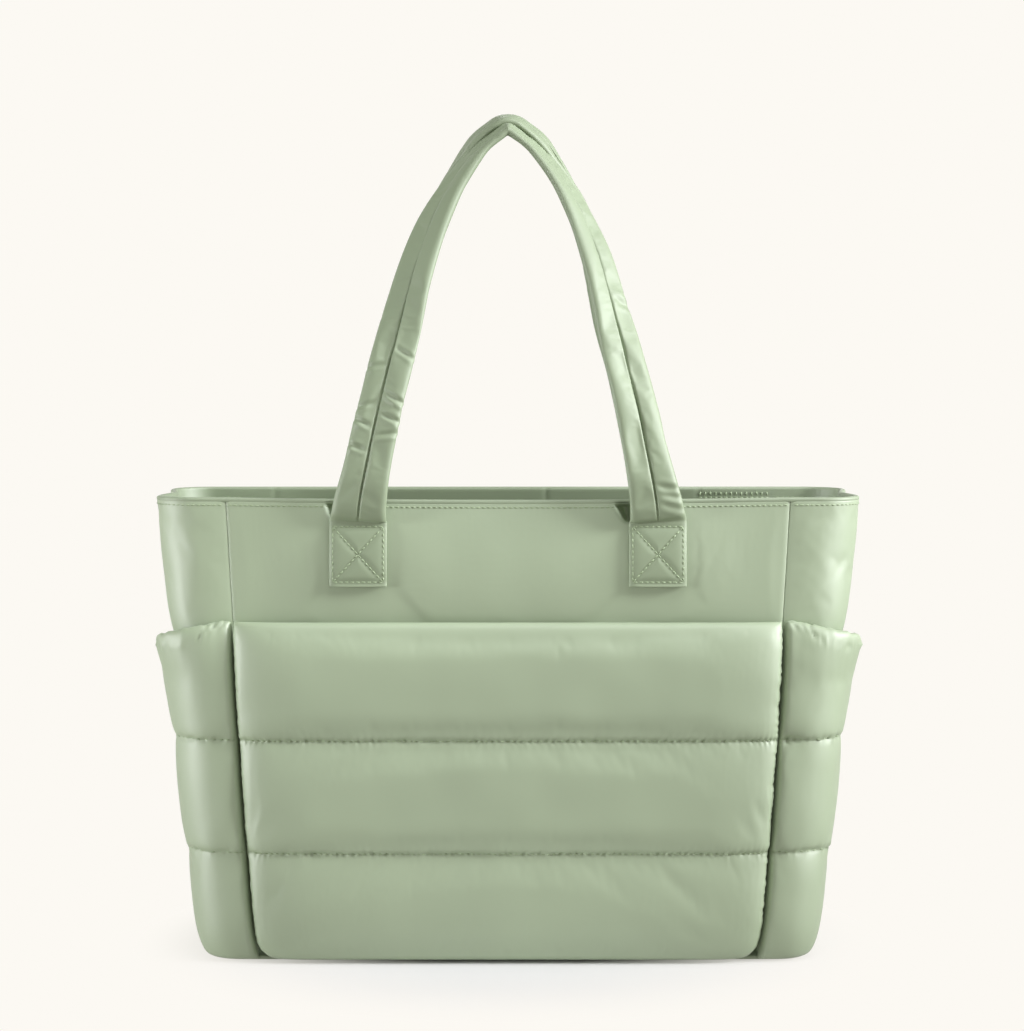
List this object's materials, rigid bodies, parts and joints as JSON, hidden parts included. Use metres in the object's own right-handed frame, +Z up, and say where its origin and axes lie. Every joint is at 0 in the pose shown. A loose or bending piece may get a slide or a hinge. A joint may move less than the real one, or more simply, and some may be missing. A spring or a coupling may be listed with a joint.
{
  "type": "padded tote bag",
  "caption": "Soft padded tote bag in satin nylon with quilted front and side pockets and two padded handles drawn up to a peak.",
  "frame": {"origin": "middle of the bag's box, on the surface that its base rests on", "axes": "+Z up through the peak of the handles, +X along the bag's width to the right of its front, the front faces -Y"},
  "size_m": [0.465, 0.1856, 0.5514],
  "materials": {
    "satin_nylon": "sage green satin nylon, padded",
    "facing_nylon": "sage green satin nylon, plain facing"
  },
  "bodies": {
    "root": {"front_panel": "satin_nylon", "back_panel": "satin_nylon", "left_side_panel": "satin_nylon", "right_side_panel": "satin_nylon", "base_panel": "satin_nylon", "rim_facing": "facing_nylon", "front_pocket": "satin_nylon", "left_side_pocket": "satin_nylon", "right_side_pocket": "satin_nylon", "front_handle": "satin_nylon", "back_handle": "satin_nylon"}
  },
  "joints": []
}
